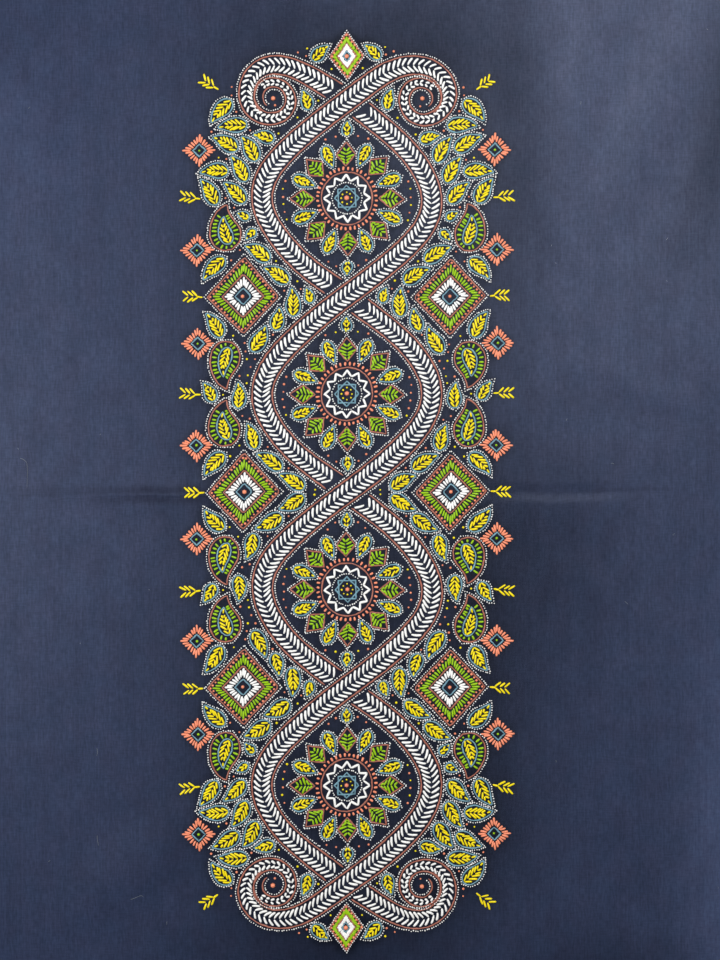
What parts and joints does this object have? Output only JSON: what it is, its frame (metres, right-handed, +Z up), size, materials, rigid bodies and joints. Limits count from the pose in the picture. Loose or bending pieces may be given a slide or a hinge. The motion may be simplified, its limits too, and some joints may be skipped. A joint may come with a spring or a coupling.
{
  "type": "rogan painting",
  "caption": "Painted navy cotton panel lying face up, with raised oil-paste ornament and a fold crease across its middle.",
  "frame": {"origin": "on the surface that the cloth lies on, under the middle of the cloth", "axes": "+X to the right across the painting, +Y up the painting along the longer side, +Z up off the surface, out of the painted face"},
  "size_m": [0.4086, 0.5094, 0.0034],
  "materials": {
    "cotton": "matt plain-woven cotton dyed navy, darker where the oil has soaked in",
    "white_paint": "raised oil-paste thread, satin to soft gloss",
    "yellow_paint": "raised oil-paste thread, satin to soft gloss",
    "green_paint": "raised oil-paste thread, satin to soft gloss",
    "coral_paint": "raised oil-paste thread, satin to soft gloss",
    "terracotta_paint": "raised oil-paste thread, satin to soft gloss",
    "blue_paint": "raised oil-paste thread, satin to soft gloss"
  },
  "bodies": {
    "root": {"painted_cloth": "cotton"}
  },
  "joints": []
}
